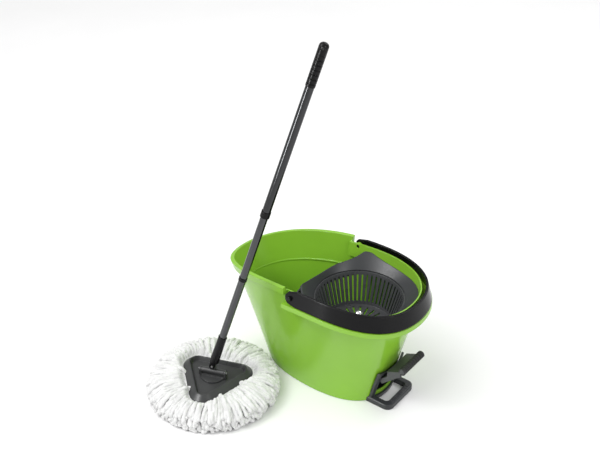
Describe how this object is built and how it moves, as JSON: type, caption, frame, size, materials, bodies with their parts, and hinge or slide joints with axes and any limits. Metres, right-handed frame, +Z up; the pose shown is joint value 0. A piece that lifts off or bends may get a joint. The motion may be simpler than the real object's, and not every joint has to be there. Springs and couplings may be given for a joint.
{
  "type": "spin mop set",
  "caption": "Egg-shaped bucket with a pedal-driven spinning wringer basket, splash guard and swinging carry handle, with a telescopic mop on a two-way swivel.",
  "frame": {"origin": "where the axis of the spinning basket meets the surface that the bucket stands on", "axes": "+Z up, +X from the basket towards the pedal end, +Y across the bucket"},
  "size_m": [0.5529, 0.5322, 0.8283],
  "materials": {
    "bucket_green": "gloss",
    "guard_grey": "satin",
    "frame_grey": "satin",
    "steel": "satin",
    "steel_bright": "polished",
    "bush_white": "matt",
    "handle_black": "gloss",
    "basket_grey": "satin",
    "pedal_grey": "satin",
    "tread_rubber": "matt",
    "gear_white": "matt",
    "head_dark": "satin",
    "carrier_white": "matt",
    "microfibre": "matt",
    "tube_steel": "satin",
    "tube_grey": "satin"
  },
  "bodies": {
    "bucket": {"bucket_shell": "bucket_green", "splash_guard": "guard_grey", "foot_frame": "frame_grey", "base_cover": "frame_grey", "cover_screws": "steel", "shaft_bush": "bush_white", "pedal_pin": "steel", "gear_post": "steel", "handle_pins": "handle_black"},
    "carry_handle": {"carry_handle": "handle_black"},
    "basket": {"basket": "basket_grey", "hub_dome": "steel_bright", "drive_shaft": "steel", "shaft_clip": "steel", "clutch_drum": "steel"},
    "pedal": {"pedal": "pedal_grey", "pedal_tread": "tread_rubber", "pedal_springs": "steel"},
    "drive_rack": {"drive_rack": "gear_white"},
    "drive_gear": {"drive_gear": "gear_white"},
    "drive_pinion": {"drive_pinion": "gear_white", "clutch_rollers": "steel"},
    "swivel": {"swivel_disc": "head_dark", "tilt_pin": "steel", "swivel_ring": "head_dark"},
    "mop_head": {"mop_plate": "head_dark", "fringe_carrier": "carrier_white", "fringe": "microfibre"},
    "yoke": {"yoke": "head_dark"},
    "lower_pole": {"pole_socket": "handle_black", "cross_pin": "steel", "lower_tube": "tube_steel", "tube_joint": "handle_black", "tube_plug": "handle_black"},
    "lock_collar": {"lock_collar": "handle_black"},
    "upper_pole": {"upper_tube": "tube_grey", "pole_grip": "handle_black", "hang_cap": "handle_black"}
  },
  "joints": [
    {"name": "handle_swing", "type": "hinge", "parent": "bucket", "child": "carry_handle", "pos_m": [-0.088, 0, 0.267], "axis": [0, -1, 0], "range_deg": [0, 88]},
    {"name": "basket_spin", "type": "hinge", "parent": "bucket", "child": "basket", "pos_m": [0, 0, 0.15], "axis": [0, 0, 1], "continuous": true},
    {"name": "pedal_press", "type": "hinge", "parent": "bucket", "child": "pedal", "pos_m": [0.04, 0, 0.019], "axis": [0, 1, 0], "range_deg": [0, 26], "stiffness_Nm_per_rad": 6, "springref_deg": -14.32, "deforming": ["pedal_springs"]},
    {"name": "rack_slide", "type": "slide", "parent": "bucket", "child": "drive_rack", "axis": [1, 0, 0], "range_m": [-0.0005, 0.013]},
    {"name": "gear_spin", "type": "hinge", "parent": "bucket", "child": "drive_gear", "pos_m": [-0.02662, 0.0195, 0.05], "axis": [0, 0, 1], "range_deg": [-2, 62]},
    {"name": "pinion_spin", "type": "hinge", "parent": "bucket", "child": "drive_pinion", "pos_m": [0, 0, 0.06], "axis": [0, 0, 1], "range_deg": [-160, 4]},
    {"name": "mop_lift", "type": "slide", "parent": "bucket", "child": "swivel", "axis": [-0.2981, -0.7454, 0.5963], "range_m": [0, 0.3]},
    {"name": "head_spin", "type": "hinge", "parent": "swivel", "child": "mop_head", "pos_m": [-0.238, -0.231, 0.034], "axis": [0, 0, 1], "continuous": true},
    {"name": "yoke_tilt", "type": "hinge", "parent": "swivel", "child": "yoke", "pos_m": [-0.238, -0.231, 0.052], "axis": [0.9354, 0.3535, 0], "range_deg": [-4, 62]},
    {"name": "pole_tilt", "type": "hinge", "parent": "yoke", "child": "lower_pole", "pos_m": [-0.23876, -0.229, 0.06786], "axis": [-0.3503, 0.927, -0.134], "range_deg": [-62, 5]},
    {"name": "telescope", "type": "slide", "parent": "lower_pole", "child": "upper_pole", "axis": [0.2187, 0.22, 0.9507], "range_m": [0, 0.3]},
    {"name": "lock_twist", "type": "hinge", "parent": "upper_pole", "child": "lock_collar", "pos_m": [-0.14932, -0.139, 0.45668], "axis": [0.2187, 0.22, 0.9507], "range_deg": [0, 80]}
  ],
  "couplings": [
    {"joint": "rack_slide", "follows": "pedal_press", "m_per_rad": 0.027},
    {"joint": "gear_spin", "follows": "pedal_press", "ratio": 2.25},
    {"joint": "pinion_spin", "follows": "pedal_press", "ratio": -6}
  ]
}
